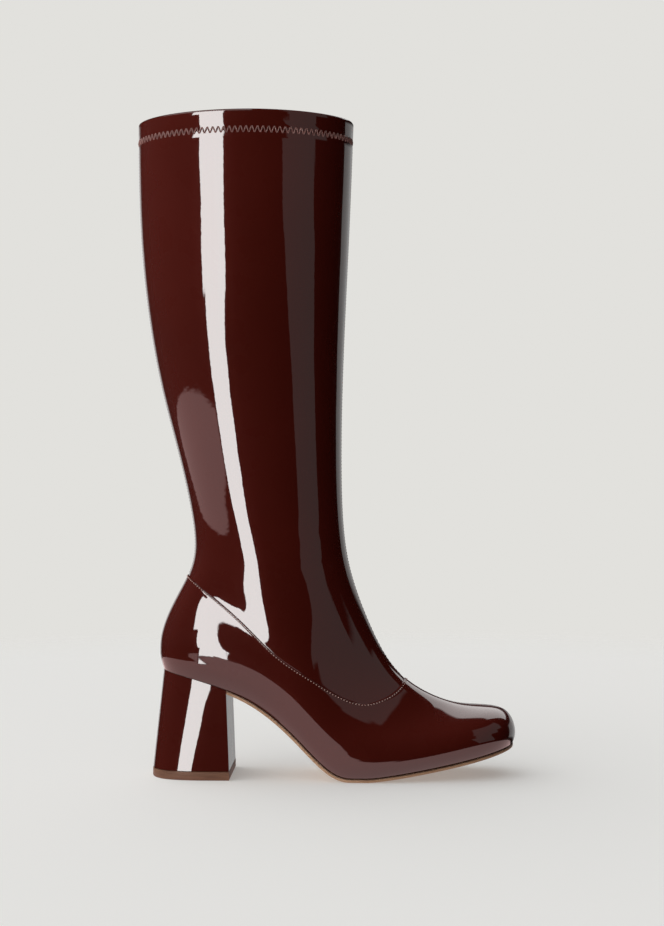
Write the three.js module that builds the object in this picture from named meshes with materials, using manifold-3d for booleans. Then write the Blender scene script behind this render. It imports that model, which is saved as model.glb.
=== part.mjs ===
// A tall pull-on boot for the right foot, in glossy leather, on a flared block heel.
//
// Frame: millimetres, +Z up, +X towards the toe, +Y towards the inner side of the foot.
// The origin lies on the floor, under the middle of the heel's top piece.
//
// The upper is described by levels. Each level is a closed loop round the leg or the foot,
// from its back point to its front point. The first level is the collar, and the last is the
// feather line, where the upper meets the sole. A cubic spline runs down through the levels.

import * as THREE from "three";
import Module from "manifold-3d";
import { mergeVertices } from "three/addons/utils/BufferGeometryUtils.js";

const wasm = await Module();
wasm.setup();

// Driving dimensions, in millimetres

const FOOT_LENGTH = 244; // back of the heel curve to the tip of the toe, along the floor
const HEEL_HEIGHT = 74; // floor to the back of the seat
const TOE_SPRING = 19.5; // floor to the underside of the sole at the tip of the toe
const BALL_WIDTH = 79; // across the upper at the ball of the foot
const COUNTER_HEIGHT = 65; // seat to the back end of the panel seam
const INSTEP_HEIGHT = 69; // sole to the ridge of the vamp, just above the panel seam
const SHAFT_HEIGHT = 379; // seat to the collar
const COLLAR_LENGTH = 150; // back to front
const COLLAR_WIDTH = 105; // side to side
const ANKLE_LENGTH = 105; // back to front at the narrowest place
const ANKLE_WIDTH = 70; // side to side at the same place
const COLLAR_RISE = 1.4; // the front of the collar above its back
const COLLAR_CROWN = 1.2; // the sides of the collar above the line from its back to its front

const UPPER_WALL = 1.4;
const PANEL_STEP = 0.6; // the foot panel stands this far proud of the shaft
const HEM_WALL = 2.8; // the folded edge at the collar
const HEM_DEPTH = 13.5;
const SOLE_THICKNESS = 2.4;
const SOLE_BEVEL = 0.7; // on the lower edge of the sole
const SOLE_EDGE = 0.3; // the sole stands this far outside the feather line
const INSOLE_THICKNESS = 2;
const TOP_PIECE_THICKNESS = 6;
const TOP_PIECE_BEVEL = 0.5;
const HEEL_BASE_LENGTH = 55;
const HEEL_BASE_WIDTH = 56;
const HEEL_SIDE_POWER = 4; // the sides of its base stay straight further back as this rises
const HEEL_BACK_POWER = 2.4; // and its back gets flatter as this rises
const HEEL_RIM = 2.4; // the heel's thin wall round the seat of the sole
const BREAST_X = 25.4; // the breast of the heel at the seat, from the origin
const SOLE_STEP = 0.5; // from the breast to the place where the sole takes its full width
const GAP = 0.3; // between neighbouring pieces

// Shape tables, as shares of the sizes above

// Side view of the feather line, where the sole meets the upper.
// x: share of FOOT_LENGTH from the origin; heel: share of the seat's height; toe: share of the spring.
const FOOTBED = [
  { x: -0.081, heel: 1.0, toe: 0 },
  { x: 0.008, heel: 0.934, toe: 0 },
  { x: 0.098, heel: 0.839, toe: 0 },
  { x: 0.172, heel: 0.725, toe: 0 },
  { x: 0.242, heel: 0.56, toe: 0 },
  { x: 0.311, heel: 0.342, toe: 0 },
  { x: 0.369, heel: 0.143, toe: 0 },
  { x: 0.414, heel: 0.032, toe: 0 },
  { x: 0.475, heel: 0, toe: -0.015 },
  { x: 0.553, heel: 0, toe: 0.067 },
  { x: 0.656, heel: 0, toe: 0.267 },
  { x: 0.779, heel: 0, toe: 0.574 },
  { x: 0.9131, heel: 0, toe: 1.0 },
];

// The middle line of the foot in plan, as a share of BALL_WIDTH towards the inner side.
const FOOT_CURVE = [
  { x: -0.1, inward: 0 },
  { x: 0.1, inward: 0 },
  { x: 0.3, inward: -0.042 },
  { x: 0.48, inward: -0.012 },
  { x: 0.7, inward: 0.04 },
  { x: 0.92, inward: 0.075 },
];

// Where each level's fullness values lie, as shares of the way from its back to its front.
const STATIONS = [0, 0.06, 0.2, 0.4, 0.6, 0.8, 0.94, 1];

// Levels of the leg, from the collar down to the ankle.
// up: share of SHAFT_HEIGHT at the back; drop: how much lower the front is, as a share of it;
// middle: centre of the loop, share of FOOT_LENGTH; long, wide: 0 at the ankle, 1 at the collar;
// sag: how far the sides follow the dip of the footbed; bow: how far they follow FOOT_CURVE;
// full: half width at each station over that of an ellipse.
const LEG = [
  { up: 1.0, drop: 0, middle: 0.1521, long: 1.0, wide: 1.0, sag: 0, bow: 0,
    full: [1.0, 1.0, 1.0, 1.0, 1.0, 0.99, 0.98, 0.97] },
  { up: 0.7936, drop: 0.0029, middle: 0.1494, long: 0.888, wide: 0.91, sag: 0, bow: 0,
    full: [1.0, 1.0, 1.0, 1.0, 1.0, 0.98, 0.97, 0.96] },
  { up: 0.6351, drop: 0.0127, middle: 0.156, long: 0.684, wide: 0.67, sag: 0, bow: 0,
    full: [1.01, 1.01, 1.01, 1.0, 0.99, 0.97, 0.95, 0.94] },
  { up: 0.5059, drop: 0.0312, middle: 0.171, long: 0.438, wide: 0.4, sag: 0, bow: 0,
    full: [1.02, 1.02, 1.01, 1.0, 0.985, 0.965, 0.94, 0.93] },
  { up: 0.4063, drop: 0.0556, middle: 0.1903, long: 0.216, wide: 0.17, sag: 0, bow: 0,
    full: [1.02, 1.02, 1.02, 1.005, 0.99, 0.965, 0.935, 0.925] },
  { up: 0.3056, drop: 0.0683, middle: 0.2132, long: 0.071, wide: 0.02, sag: 0.06, bow: 0.1,
    full: [1.02, 1.03, 1.03, 1.015, 0.985, 0.95, 0.915, 0.9] },
  { up: 0.2186, drop: 0.0654, middle: 0.2346, long: 0.147, wide: 0, sag: 0.2, bow: 0.3,
    full: [1.03, 1.03, 1.0, 1.0, 0.965, 0.915, 0.87, 0.855] },
];

// Levels of the foot, from above the panel seam down to the feather line.
// back, front: ends of the loop, shares of FOOT_LENGTH; up: height of the back end above the seat,
// share of COUNTER_HEIGHT; rise: height of the front end above the footbed, share of INSTEP_HEIGHT;
// full: as above, over half of BALL_WIDTH.
const FOOT = [
  { back: -0.0129, front: 0.5102, up: 1.0, rise: 1.445, sag: 0.4, bow: 0.5,
    full: [0.98, 0.97, 0.87, 0.865, 0.83, 0.77, 0.72, 0.705] },
  { back: -0.038, front: 0.576, up: 0.815, rise: 1.012, sag: 0.6, bow: 0.7,
    full: [1.08, 1.03, 0.87, 0.86, 0.83, 0.75, 0.695, 0.68] },
  { back: -0.0611, front: 0.6557, up: 0.646, rise: 0.735, sag: 0.78, bow: 0.85,
    full: [1.2, 1.14, 0.96, 0.86, 0.85, 0.775, 0.72, 0.715] },
  { back: -0.079, front: 0.757, up: 0.482, rise: 0.53, sag: 0.9, bow: 0.95,
    full: [1.32, 1.23, 1.03, 0.875, 0.895, 0.85, 0.835, 0.85] },
  { back: -0.0893, front: 0.838, up: 0.331, rise: 0.436, sag: 0.97, bow: 1,
    full: [1.43, 1.29, 1.05, 0.88, 0.95, 0.975, 1.07, 1.14] },
  { back: -0.0915, front: 0.9005, up: 0.208, rise: 0.307, sag: 1, bow: 1,
    full: [1.48, 1.3, 1.035, 0.86, 0.985, 1.14, 1.42, 1.57] },
  { back: -0.0885, front: 0.9205, up: 0.1, rise: 0.0986, sag: 1, bow: 1,
    full: [1.465, 1.27, 0.98, 0.81, 0.965, 1.15, 1.45, 1.72] },
  { back: -0.0805, front: 0.9131, up: 0, rise: 0, sag: 1, bow: 1,
    full: [1.37, 1.16, 0.86, 0.715, 0.875, 1.012, 1.29, 1.57] },
];

// The seam where the foot panel laps over the shaft, in side view.
// x: share of FOOT_LENGTH; z: share of the height of its back end above the floor.
const SEAM = [
  { x: -0.05, z: 1.035 },
  { x: -0.0115, z: 1.0 },
  { x: 0.05, z: 0.92 },
  { x: 0.1094, z: 0.84 },
  { x: 0.1738, z: 0.741 },
  { x: 0.2348, z: 0.637 },
  { x: 0.3311, z: 0.52 },
  { x: 0.4135, z: 0.428 },
  { x: 0.4574, z: 0.392 },
  { x: 0.5016, z: 0.381 },
  { x: 0.538, z: 0.396 },
  { x: 0.5758, z: 0.428 },
  { x: 0.6008, z: 0.47 },
  { x: 0.62, z: 0.52 },
];

// How finely the solids are faceted

const COLUMNS = 48; // round a loop of the upper, an even number
const HEM_ROWS = 2; // from the rim to the hem line
const SHAFT_ROWS = 18; // from the hem line to the panel seam
const PANEL_ROWS = 17; // from the panel seam to the bottom
const BED_SPACING = 5; // between stations along the footbed
const SOLE_STEPS = 64; // along each side of the sole
const SEAT_STEPS = 16; // along each side of the heel, from the breast to the back
const HEEL_ROWS = 4;
const INSOLE_ROWS = 4; // rows of the upper's inside that the insole reaches over
const MERGE_DISTANCE = 1e-5; // points closer than this are one point

// Allowances for trimming

const TRIM = 3; // the wall runs on by this much below the feather line before it is cut
const SLAB_MARGIN = 10; // a trimming slab runs past the ends of the footbed by this much
const SEAT_OVERLAP = 4; // the seat of the sole runs this far into its fore part

const FOLD_RADIUS = HEM_WALL / 2;

// Small maths helpers

const mix = (a, b, t) => a + (b - a) * t;

// A natural cubic spline through the points (xs, ys), as a function of x.
function spline(xs, ys) {
  const n = xs.length;
  const bend = new Array(n).fill(0);
  const work = new Array(n).fill(0);
  for (let i = 1; i < n - 1; i++) {
    const share = (xs[i] - xs[i - 1]) / (xs[i + 1] - xs[i - 1]);
    const pivot = share * bend[i - 1] + 2;
    const slopes =
      (ys[i + 1] - ys[i]) / (xs[i + 1] - xs[i]) - (ys[i] - ys[i - 1]) / (xs[i] - xs[i - 1]);
    bend[i] = (share - 1) / pivot;
    work[i] = ((6 * slopes) / (xs[i + 1] - xs[i - 1]) - share * work[i - 1]) / pivot;
  }
  bend[n - 1] = 0;
  for (let i = n - 2; i >= 0; i--) bend[i] = bend[i] * bend[i + 1] + work[i];
  return (x) => {
    let i = 0;
    while (i < n - 2 && x > xs[i + 1]) i++;
    const h = xs[i + 1] - xs[i];
    const a = (xs[i + 1] - x) / h;
    const b = (x - xs[i]) / h;
    const cubic = ((a ** 3 - a) * bend[i] + (b ** 3 - b) * bend[i + 1]) * ((h * h) / 6);
    return a * ys[i] + b * ys[i + 1] + cubic;
  };
}

// The root of a rising function between low and high.
function bisect(rising, low, high) {
  for (let i = 0; i < 40; i++) {
    const middle = (low + high) / 2;
    if (rising(middle) < 0) low = middle;
    else high = middle;
  }
  return (low + high) / 2;
}

// Footbed, foot curve and seam as functions of x in millimetres

const SOLE_TOP = SOLE_THICKNESS + GAP; // height of the feather line where the sole is on the floor

const bedLine = spline(
  FOOTBED.map((row) => row.x * FOOT_LENGTH),
  FOOTBED.map((row) => SOLE_TOP + row.heel * (HEEL_HEIGHT - SOLE_TOP) + row.toe * TOE_SPRING),
);
const footbed = (x) => Math.max(bedLine(x), SOLE_TOP); // flat under the ball

const footCurve = spline(
  FOOT_CURVE.map((row) => row.x * FOOT_LENGTH),
  FOOT_CURVE.map((row) => row.inward * BALL_WIDTH),
);

const seamHeight = spline(
  SEAM.map((row) => row.x * FOOT_LENGTH),
  SEAM.map((row) => row.z * (HEEL_HEIGHT + COUNTER_HEIGHT)),
);

const NUDGE = 1e-3; // step for slopes taken by difference

// The height of a surface that runs a true distance above the footbed.
function bedAt(x, above) {
  const slope = (footbed(x + NUDGE) - footbed(x - NUDGE)) / (2 * NUDGE);
  return footbed(x) + above * Math.hypot(1, slope);
}

// How far the footbed hangs below the straight line between its ends.
const BED_BACK = FOOTBED[0].x * FOOT_LENGTH;
const BED_FRONT = FOOTBED[FOOTBED.length - 1].x * FOOT_LENGTH;
function dip(x) {
  const inside = Math.min(Math.max(x, BED_BACK), BED_FRONT);
  const share = (inside - BED_BACK) / (BED_FRONT - BED_BACK);
  return footbed(inside) - mix(footbed(BED_BACK), footbed(BED_FRONT), share);
}

// Levels in millimetres

function legLevel(row, index) {
  const length = mix(ANKLE_LENGTH, COLLAR_LENGTH, row.long);
  const back = row.middle * FOOT_LENGTH - length / 2;
  const backZ = HEEL_HEIGHT + row.up * SHAFT_HEIGHT;
  const collar = index === 0 ? 1 : 0;
  return {
    back: [back, backZ],
    front: [back + length, backZ - row.drop * SHAFT_HEIGHT + collar * COLLAR_RISE],
    crown: collar * COLLAR_CROWN,
    sag: row.sag,
    bow: row.bow,
    half: row.full.map((share) => (share * mix(ANKLE_WIDTH, COLLAR_WIDTH, row.wide)) / 2),
  };
}

function footLevel(row) {
  const front = row.front * FOOT_LENGTH;
  return {
    back: [row.back * FOOT_LENGTH, HEEL_HEIGHT + row.up * COUNTER_HEIGHT],
    front: [front, footbed(Math.min(front, BED_FRONT)) + row.rise * INSTEP_HEIGHT],
    crown: 0,
    sag: row.sag,
    bow: row.bow,
    half: row.full.map((share) => (share * BALL_WIDTH) / 2),
  };
}

const stationAngles = STATIONS.map((share) => Math.acos(1 - 2 * share));
const LEVELS = [...LEG.map(legLevel), ...FOOT.map(footLevel)];
for (const level of LEVELS) level.fullness = spline(stationAngles, level.half);

// A point of one level. The angle runs from 0 at the back to pi at the front. The side is -1 on
// the outer side of the foot and 1 on its inner side.
function levelPoint(level, angle, side) {
  const share = (1 - Math.cos(angle)) / 2;
  const x = mix(level.back[0], level.front[0], share);
  const straight = mix(level.back[1], level.front[1], share);
  const hang = dip(x) - mix(dip(level.back[0]), dip(level.front[0]), share);
  const y = level.bow * footCurve(x) + side * Math.sin(angle) * level.fullness(angle);
  const z = straight + level.sag * hang + level.crown * Math.sin(angle) ** 2;
  return [x, y, z];
}

// The levels' places down the upper, from 0 at the collar, by the mean distance at back and front.
const DEPTHS = [0];
for (let i = 1; i < LEVELS.length; i++) {
  const [a, b] = [LEVELS[i - 1], LEVELS[i]];
  const atBack = Math.hypot(b.back[0] - a.back[0], b.back[1] - a.back[1]);
  const atFront = Math.hypot(b.front[0] - a.front[0], b.front[1] - a.front[1]);
  DEPTHS.push(DEPTHS[i - 1] + (atBack + atFront) / 2);
}
const FEATHER = LEVELS[LEVELS.length - 1];
const FEATHER_DEPTH = DEPTHS[DEPTHS.length - 1];
const BOTTOM_DEPTH = FEATHER_DEPTH + TRIM;

// A line down the upper's outside at one angle, as a function of depth.
function meridian(angle, side) {
  const points = LEVELS.map((level) => levelPoint(level, angle, side));
  const along = [0, 1, 2].map((axis) => spline(DEPTHS, points.map((p) => p[axis])));
  return (depth) => new THREE.Vector3(...along.map((f) => f(depth)));
}

// One column of the upper: the depth of the panel seam, and the point that lies a distance
// outside the surface at a depth.
function column(angle, side) {
  const here = meridian(angle, side);
  const before = meridian(angle - NUDGE, side);
  const after = meridian(angle + NUDGE, side);
  const place = (depth, out) => {
    const round = after(depth).sub(before(depth));
    const down = here(depth + NUDGE).sub(here(depth - NUDGE));
    const normal = round.cross(down).multiplyScalar(side).normalize();
    return here(depth).addScaledVector(normal, out);
  };
  const belowSeam = (depth) => {
    const p = here(depth);
    return seamHeight(p.x) - p.z;
  };
  const seam = bisect(belowSeam, DEPTHS[LEG.length - 2], DEPTHS[LEVELS.length - 4]);
  return { place, seam };
}

// The columns round the upper: from the back along the outer side to the front, and back again.
const columns = [];
for (let i = 0; i < COLUMNS; i++) {
  const turn = (2 * Math.PI * i) / COLUMNS;
  const outerSide = turn <= Math.PI;
  columns.push(column(outerSide ? turn : 2 * Math.PI - turn, outerSide ? -1 : 1));
}

// Meshes

// Makes a closed mesh from rings of points that run the same way round and hold as many points.
// Its ends are capped, or its last ring joins the first. A cap is a ladder of faces across the
// ring. Its first rung is a point where the ring starts at a tip, else a straight edge.
function ringMesh(rings, { capped, tip }) {
  const count = rings[0].length;
  const faces = [];
  const at = (ring, i) => (ring % rings.length) * count + (i % count);
  const addFace = (corners) => {
    if (new Set(corners).size === 3) faces.push(corners);
  };
  const bands = capped ? rings.length - 1 : rings.length;
  for (let r = 0; r < bands; r++) {
    for (let i = 0; i < count; i++) {
      addFace([at(r, i), at(r, i + 1), at(r + 1, i + 1)]);
      addFace([at(r, i), at(r + 1, i + 1), at(r + 1, i)]);
    }
  }
  const cap = (ring, order) => {
    const end = tip ? count : count - 1;
    for (let i = 0; 2 * i + 1 < end; i++) {
      const [a, b, c, d] = [i, i + 1, end - i - 1, end - i].map((k) => at(ring, k));
      addFace(order([a, b, c]));
      addFace(order([a, c, d]));
    }
  };
  if (capped) {
    cap(0, (corners) => corners.reverse());
    cap(rings.length - 1, (corners) => corners);
  }
  const positions = rings.flat().flatMap((p) => [p.x, p.y, p.z]);
  const geometry = new THREE.BufferGeometry();
  geometry.setAttribute("position", new THREE.Float32BufferAttribute(positions, 3));
  geometry.setIndex(faces.flat());
  return facingOut(geometry);
}

// Turns the faces round if they point inwards.
function facingOut(geometry) {
  const positions = geometry.getAttribute("position");
  const index = Array.from(geometry.index.array);
  const corner = (k) => new THREE.Vector3().fromBufferAttribute(positions, index[k]);
  let volume = 0;
  for (let k = 0; k < index.length; k += 3) {
    volume += corner(k).dot(corner(k + 1).cross(corner(k + 2)));
  }
  if (volume < 0) {
    for (let k = 0; k < index.length; k += 3) {
      [index[k + 1], index[k + 2]] = [index[k + 2], index[k + 1]];
    }
    geometry.setIndex(index);
  }
  return geometry;
}

function toSolid(geometry) {
  const bare = new THREE.BufferGeometry();
  bare.setAttribute("position", geometry.getAttribute("position"));
  bare.setIndex(geometry.index);
  const merged = mergeVertices(bare, MERGE_DISTANCE);
  return new wasm.Manifold(
    new wasm.Mesh({
      numProp: 3,
      vertProperties: new Float32Array(merged.getAttribute("position").array),
      triVerts: new Uint32Array(merged.index.array),
    }),
  );
}

const ringSolid = (rings, ends) => toSolid(ringMesh(rings, ends));

function piece(name, solid, look) {
  const mesh = solid.getMesh();
  const geometry = new THREE.BufferGeometry();
  geometry.setAttribute("position", new THREE.BufferAttribute(mesh.vertProperties, mesh.numProp));
  geometry.setIndex(new THREE.BufferAttribute(mesh.triVerts, 1));
  const faceted = geometry.toNonIndexed();
  faceted.computeVertexNormals();
  const material = new THREE.MeshStandardMaterial({ metalness: 0, ...look });
  material.name = name;
  const part = new THREE.Mesh(faceted, material);
  part.name = name;
  return part;
}

// A slab that follows the footbed between two distances from it, wider than the boot.
function bedSlab(low, high) {
  const from = BED_BACK - SLAB_MARGIN;
  const steps = Math.ceil((BED_FRONT + SLAB_MARGIN - from) / BED_SPACING);
  const stations = Array.from({ length: steps + 1 }, (_, i) => from + i * BED_SPACING);
  const ringAt = (y) => {
    const top = stations.map((x) => new THREE.Vector3(x, y, bedAt(x, high)));
    const bottom = stations.map((x) => new THREE.Vector3(x, y, bedAt(x, low)));
    return [...top, ...bottom.reverse()];
  };
  return ringSolid([ringAt(-BALL_WIDTH), ringAt(BALL_WIDTH)], { capped: true, tip: false });
}

// The upper. The rings run down the outside and back up the inside. The outside steps out by
// PANEL_STEP just below the panel seam. The wall runs past the feather line and is trimmed there.
const hemDepth = (i) => mix(FOLD_RADIUS, HEM_DEPTH, i / HEM_ROWS);
const shaftDepth = (c, i) => mix(HEM_DEPTH, c.seam, i / SHAFT_ROWS);
const panelDepth = (c, i) => mix(c.seam, BOTTOM_DEPTH, i / PANEL_ROWS);

function upperSolid() {
  const rings = [];
  const addRing = (depth, out) => rings.push(columns.map((c) => c.place(depth(c), out)));
  const addFold = (turn) => {
    const depth = FOLD_RADIUS * (1 - Math.sin(turn));
    addRing(() => depth, FOLD_RADIUS * (Math.cos(turn) - 1));
  };
  for (let turn = 3; turn >= 0; turn--) addFold((turn * Math.PI) / 4);
  for (let i = 1; i <= HEM_ROWS; i++) addRing(() => hemDepth(i), 0);
  for (let i = 1; i <= SHAFT_ROWS; i++) addRing((c) => shaftDepth(c, i), 0);
  addRing((c) => c.seam + PANEL_STEP / 2, PANEL_STEP);
  for (let i = 1; i <= PANEL_ROWS; i++) addRing((c) => panelDepth(c, i), PANEL_STEP);
  for (let i = PANEL_ROWS; i >= 1; i--) addRing((c) => panelDepth(c, i), -UPPER_WALL);
  for (let i = SHAFT_ROWS; i >= 1; i--) addRing((c) => shaftDepth(c, i), -UPPER_WALL);
  addRing(() => HEM_DEPTH + HEM_WALL - UPPER_WALL, -UPPER_WALL);
  addRing(() => HEM_DEPTH, -HEM_WALL);
  addRing(() => FOLD_RADIUS, -HEM_WALL);
  return ringSolid(rings, { capped: false }).subtract(bedSlab(-2 * TRIM, 0));
}

// The insole fills the inside of the upper from the outsole up, a gap away from the wall.
function insoleSolid() {
  const rings = [];
  for (let i = PANEL_ROWS; i >= PANEL_ROWS - INSOLE_ROWS; i--) {
    rings.push(columns.map((c) => c.place(panelDepth(c, i), -UPPER_WALL - GAP)));
  }
  return ringSolid(rings, { capped: true, tip: true }).intersect(bedSlab(0, INSOLE_THICKNESS));
}

// Points along one side of the feather line, between two shares of its length, moved out in plan.
function edgePoints(side, from, to, steps, out) {
  const points = [];
  for (let i = 0; i <= steps; i++) {
    const angle = mix(Math.acos(1 - 2 * from), Math.acos(1 - 2 * to), i / steps);
    const at = (a) => new THREE.Vector3(...levelPoint(FEATHER, a, side)).setZ(0);
    const slope = at(angle + NUDGE).sub(at(angle - NUDGE)).normalize();
    const outward = new THREE.Vector3(-side * slope.y, side * slope.x, 0);
    points.push(at(angle).addScaledVector(outward, out));
  }
  return points;
}

const shareAt = (x) => (x - FEATHER.back[0]) / (FEATHER.front[0] - FEATHER.back[0]);

const atHeight = (points, height) => points.map((p) => p.clone().setZ(height(p)));
const onBed = (points, above) => atHeight(points, (p) => Math.max(bedAt(p.x, above), 0));

// The part of the sole from the breast of the heel to the toe, with its bevelled lower edge.
function foreSole() {
  const from = shareAt(BREAST_X + SOLE_STEP);
  const loop = (out) => [
    ...edgePoints(-1, from, 1, SOLE_STEPS, out),
    ...edgePoints(1, 1, from, SOLE_STEPS, out).slice(1),
  ];
  const out = PANEL_STEP + SOLE_EDGE;
  const rings = [
    onBed(loop(out), -GAP),
    onBed(loop(out), SOLE_BEVEL - GAP - SOLE_THICKNESS),
    onBed(loop(out - SOLE_BEVEL), -GAP - SOLE_THICKNESS),
  ];
  return ringSolid(rings, { capped: true, tip: false });
}

// The seat of the sole, which the rim of the heel hides, between two distances from the footbed.
function seat(out, toX, low, high) {
  const to = shareAt(toX);
  const loop = [
    ...edgePoints(-1, 0, to, SEAT_STEPS, out),
    ...edgePoints(1, to, 0, SEAT_STEPS, out).slice(0, -1),
  ];
  return ringSolid([onBed(loop, high), onBed(loop, low)], { capped: true, tip: true });
}

function outsoleSolid() {
  const out = PANEL_STEP - HEEL_RIM - GAP;
  const seatPart = seat(out, BREAST_X + SEAT_OVERLAP, -GAP - SOLE_THICKNESS, -GAP);
  return foreSole().add(seatPart);
}

// The heel's outline in plan: the feather line behind the breast, spread towards the base.
// drop is 0 at the seat and 1 at the base.
const SEAT_LENGTH = BREAST_X - FEATHER.back[0] + PANEL_STEP;
const HEEL_TOP = TOP_PIECE_THICKNESS + GAP; // height of the heel block's base
function heelLoop(drop, inset) {
  const back = mix(FEATHER.back[0] - PANEL_STEP, -HEEL_BASE_LENGTH / 2, drop) + inset;
  const breast = mix(BREAST_X, HEEL_BASE_LENGTH / 2, drop) - inset;
  const long = (breast - back) / SEAT_LENGTH;
  const half = HEEL_BASE_WIDTH / 2 - inset;
  const share = shareAt(BREAST_X);
  const loop = [
    ...edgePoints(-1, share, 0, SEAT_STEPS, PANEL_STEP),
    ...edgePoints(1, 0, share, SEAT_STEPS, PANEL_STEP).slice(1),
  ];
  return loop.map((p) => {
    const past = Math.min(p.x, BREAST_X) - BREAST_X;
    const left = Math.max(0, 1 - (-past / SEAT_LENGTH) ** HEEL_SIDE_POWER);
    const baseSide = Math.sign(p.y) * half * left ** (1 / HEEL_BACK_POWER);
    const seatHeight = bedAt(p.x, -GAP);
    return new THREE.Vector3(
      breast + past * long,
      mix(p.y, baseSide, drop),
      mix(seatHeight, HEEL_TOP, drop),
    );
  });
}

function heelSolid() {
  const rings = [];
  for (let i = 0; i <= HEEL_ROWS; i++) rings.push(heelLoop(i / HEEL_ROWS, 0));
  const pocket = seat(
    PANEL_STEP - HEEL_RIM,
    BREAST_X + SEAT_OVERLAP,
    -2 * GAP - SOLE_THICKNESS,
    SOLE_THICKNESS,
  );
  return ringSolid(rings, { capped: true, tip: false }).subtract(pocket);
}

function topPieceSolid() {
  const rings = [
    atHeight(heelLoop(1, 0), () => TOP_PIECE_THICKNESS),
    atHeight(heelLoop(1, 0), () => TOP_PIECE_BEVEL),
    atHeight(heelLoop(1, TOP_PIECE_BEVEL), () => 0),
  ];
  return ringSolid(rings, { capped: true, tip: false });
}

// The boot

const boot = new THREE.Group();
boot.name = "tall_boot";
boot.add(
  piece("upper", upperSolid(), { color: "#4a0f0c", roughness: 0.15 }),
  piece("outsole", outsoleSolid(), { color: "#b48c73", roughness: 0.6 }),
  piece("insole", insoleSolid(), { color: "#a98b70", roughness: 0.8 }),
  piece("heel_block", heelSolid(), { color: "#4a0f0c", roughness: 0.15 }),
  piece("top_piece", topPieceSolid(), { color: "#6e4b32", roughness: 0.7 }),
);

export default boot;
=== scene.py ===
"""Looks of a tall patent boot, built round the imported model. Lengths are in millimetres until a
mesh is made, in the model's own frame: +X towards the toe, +Y towards the inner side, +Z up."""

import math

import bmesh
import bpy
import numpy as np
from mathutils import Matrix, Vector


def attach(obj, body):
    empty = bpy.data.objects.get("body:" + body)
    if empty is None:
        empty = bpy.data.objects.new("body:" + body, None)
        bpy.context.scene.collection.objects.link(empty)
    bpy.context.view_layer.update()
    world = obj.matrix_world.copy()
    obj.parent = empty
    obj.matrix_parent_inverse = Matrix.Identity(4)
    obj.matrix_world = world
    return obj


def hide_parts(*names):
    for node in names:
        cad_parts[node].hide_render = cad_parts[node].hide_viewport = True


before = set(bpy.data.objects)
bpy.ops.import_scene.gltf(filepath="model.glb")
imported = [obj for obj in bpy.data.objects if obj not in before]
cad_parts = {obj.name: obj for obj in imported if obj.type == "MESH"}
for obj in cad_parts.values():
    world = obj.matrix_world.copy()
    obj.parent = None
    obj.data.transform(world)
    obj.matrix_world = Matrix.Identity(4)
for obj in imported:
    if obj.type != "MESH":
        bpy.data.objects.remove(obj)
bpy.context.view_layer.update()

MM = 0.001

# Driving sizes of the boot, in millimetres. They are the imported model's own.
FOOT_LENGTH = 244
HEEL_HEIGHT = 74
TOE_SPRING = 19.5
BALL_WIDTH = 79
COUNTER_HEIGHT = 65
INSTEP_HEIGHT = 69
SHAFT_HEIGHT = 379
COLLAR_LENGTH = 150
COLLAR_WIDTH = 105
ANKLE_LENGTH = 105
ANKLE_WIDTH = 70
COLLAR_RISE = 1.4
COLLAR_CROWN = 1.2
UPPER_WALL = 1.4
PANEL_STEP = 0.6
HEM_WALL = 2.8
HEM_DEPTH = 13.5
SOLE_THICKNESS = 2.4
SOLE_EDGE = 0.3
INSOLE_THICKNESS = 2
TOP_PIECE_THICKNESS = 6
HEEL_BASE_LENGTH = 55
HEEL_BASE_WIDTH = 56
HEEL_SIDE_POWER = 4  # the sides of its base stay straight further back as this rises
HEEL_BACK_POWER = 2.4  # and its back gets flatter as this rises
HEEL_RIM = 2.4
BREAST_X = 25.4
SOLE_STEP = 0.5
GAP = 0.3
FOLD_RADIUS = HEM_WALL / 2
SOLE_TOP = SOLE_THICKNESS + GAP

# Side view of the feather line: x along the foot, share of the seat's height, share of toe spring.
FOOTBED = [
    (-0.081, 1.0, 0),
    (0.008, 0.934, 0),
    (0.098, 0.839, 0),
    (0.172, 0.725, 0),
    (0.242, 0.56, 0),
    (0.311, 0.342, 0),
    (0.369, 0.143, 0),
    (0.414, 0.032, 0),
    (0.475, 0, -0.015),
    (0.553, 0, 0.067),
    (0.656, 0, 0.267),
    (0.779, 0, 0.574),
    (0.9131, 0, 1.0),
]

# The middle line of the foot in plan: x along the foot, share of BALL_WIDTH towards the inner side.
FOOT_CURVE = [
    (-0.1, 0),
    (0.1, 0),
    (0.3, -0.042),
    (0.48, -0.012),
    (0.7, 0.04),
    (0.92, 0.075),
]

# Shares of the way from back to front at which a level's fullness is given.
STATIONS = [0, 0.06, 0.2, 0.4, 0.6, 0.8, 0.94, 1]

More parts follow.
